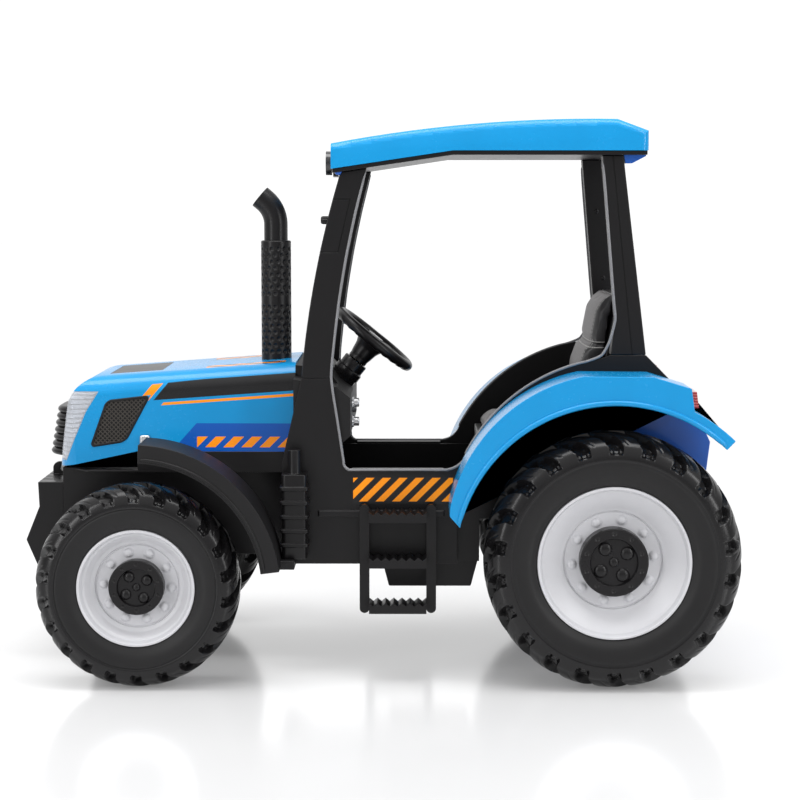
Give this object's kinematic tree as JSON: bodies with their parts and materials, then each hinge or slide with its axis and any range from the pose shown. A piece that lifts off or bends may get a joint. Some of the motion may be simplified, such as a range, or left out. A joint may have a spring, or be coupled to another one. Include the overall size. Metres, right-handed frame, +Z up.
{
  "type": "ride on tractor toy",
  "caption": "Battery ride-on toy tractor with an open cab, lugged tyres, hood, fenders, side steps and steered front wheels.",
  "frame": {"origin": "on the ground under the middle of the length and width", "axes": "+X forward, +Y to the driver's left, +Z up"},
  "size_m": [1.333, 0.718, 1.0294],
  "materials": {
    "blue_shell": "glossy moulded plastic",
    "tail_blue": "glossy dark moulded plastic",
    "black_plastic": "fine grained moulded plastic",
    "grip_black": "grained grip",
    "horn_grey": "smooth moulded plastic",
    "tyre_black": "semi-gloss blow-moulded plastic",
    "rim_grey": "satin grey plastic",
    "steel": "zinc plated",
    "seat_leather": "grained leatherette",
    "clear_lens": "clear moulded lens",
    "red_lens": "red moulded lens"
  },
  "bodies": {
    "chassis": {"battery": "black_plastic", "belly_tray": "black_plastic", "canisters": "black_plastic", "dashboard": "black_plastic", "exhaust_pipe": "black_plastic", "exhaust_sleeve": "black_plastic", "floor_pan": "black_plastic", "front_axle_beam": "steel", "front_fender_left": "black_plastic", "front_fender_right": "black_plastic", "front_frame": "black_plastic", "front_grille": "black_plastic", "front_post_left": "black_plastic", "front_post_right": "black_plastic", "front_weights": "black_plastic", "gearmotors": "black_plastic", "headlights": "clear_lens", "hood": "blue_shell", "hood_vent": "black_plastic", "rear_axle": "steel", "rear_fender_left": "blue_shell", "rear_fender_right": "blue_shell", "rear_panel": "tail_blue", "rear_post_left": "black_plastic", "rear_post_right": "black_plastic", "roof": "blue_shell", "roof_lamps": "clear_lens", "roof_liner": "black_plastic", "seat_back": "seat_leather", "seat_base": "black_plastic", "seat_cushion": "seat_leather", "side_grilles": "black_plastic", "side_panel_left": "black_plastic", "side_panel_right": "black_plastic", "side_steps": "black_plastic", "steering_gearbox": "black_plastic", "tail_lamps": "red_lens", "tow_hitch": "steel"},
    "steering": {"steering_wheel": "grip_black", "steering_shaft": "steel"},
    "horn": {"horn_button": "horn_grey"},
    "left_knuckle": {"knuckle_left": "steel"},
    "right_knuckle": {"knuckle_right": "steel"},
    "pitman": {"pitman_arm": "steel"},
    "tie_rod": {"tie_rod": "steel"},
    "pedal": {"foot_pedal": "black_plastic"},
    "lever": {"direction_lever": "black_plastic"},
    "start": {"start_button": "horn_grey"},
    "front_left_wheel": {"front_tyre_left": "tyre_black", "front_rim_left": "rim_grey", "front_hub_cap_left": "black_plastic"},
    "front_right_wheel": {"front_tyre_right": "tyre_black", "front_rim_right": "rim_grey", "front_hub_cap_right": "black_plastic"},
    "rear_left_wheel": {"rear_tyre_left": "tyre_black", "rear_rim_left": "rim_grey", "rear_hub_cap_left": "black_plastic"},
    "rear_right_wheel": {"rear_tyre_right": "tyre_black", "rear_rim_right": "rim_grey", "rear_hub_cap_right": "black_plastic"}
  },
  "joints": [
    {"name": "steer_left", "type": "hinge", "parent": "chassis", "child": "left_knuckle", "pos_m": [0.43, 0.215, 0.186], "axis": [0, 0, 1], "range_deg": [-25, 25]},
    {"name": "steer_right", "type": "hinge", "parent": "chassis", "child": "right_knuckle", "pos_m": [0.43, -0.215, 0.186], "axis": [0, 0, 1], "range_deg": [-25, 25]},
    {"name": "pitman_turn", "type": "hinge", "parent": "chassis", "child": "pitman", "pos_m": [0.37, 0, 0.186], "axis": [0, 0, 1], "range_deg": [-25, 25]},
    {"name": "tie_rod_pivot", "type": "hinge", "parent": "left_knuckle", "child": "tie_rod", "pos_m": [0.385, 0.215, 0.145], "axis": [0, 0, 1], "range_deg": [-25, 25]},
    {"name": "steering_turn", "type": "hinge", "parent": "chassis", "child": "steering", "pos_m": [0.005, 0, 0.614], "axis": [-0.6293, 0, 0.7771], "range_deg": [-40, 40]},
    {"name": "horn_press", "type": "slide", "parent": "steering", "child": "horn", "axis": [0.6293, 0, -0.7771], "range_m": [0, 0.0027], "stiffness_N_per_m": 400, "springref_m": -0.002},
    {"name": "pedal_press", "type": "hinge", "parent": "chassis", "child": "pedal", "pos_m": [0.025, -0.095, 0.23], "axis": [0, 1, 0], "range_deg": [0, 12], "stiffness_Nm_per_rad": 2, "springref_deg": -11.46},
    {"name": "lever_rock", "type": "hinge", "parent": "chassis", "child": "lever", "pos_m": [0.105, -0.174, 0.545], "axis": [0, 1, 0], "range_deg": [-15, 15]},
    {"name": "start_press", "type": "slide", "parent": "chassis", "child": "start", "axis": [1, 0, 0], "range_m": [0, 0.003], "stiffness_N_per_m": 400, "springref_m": -0.002},
    {"name": "front_left_roll", "type": "hinge", "parent": "left_knuckle", "child": "front_left_wheel", "pos_m": [0.43, 0.287, 0.186], "axis": [0, 1, 0], "continuous": true},
    {"name": "front_right_roll", "type": "hinge", "parent": "right_knuckle", "child": "front_right_wheel", "pos_m": [0.43, -0.287, 0.186], "axis": [0, 1, 0], "continuous": true},
    {"name": "rear_left_roll", "type": "hinge", "parent": "chassis", "child": "rear_left_wheel", "pos_m": [-0.432, 0.287, 0.234], "axis": [0, 1, 0], "continuous": true},
    {"name": "rear_right_roll", "type": "hinge", "parent": "chassis", "child": "rear_right_wheel", "pos_m": [-0.432, -0.287, 0.234], "axis": [0, 1, 0], "continuous": true}
  ],
  "couplings": [
    {"joint": "steer_right", "follows": "steer_left", "ratio": 1},
    {"joint": "pitman_turn", "follows": "steer_left", "ratio": 1},
    {"joint": "tie_rod_pivot", "follows": "steer_left", "ratio": -1},
    {"joint": "steering_turn", "follows": "steer_left", "ratio": 1.6}
  ]
}
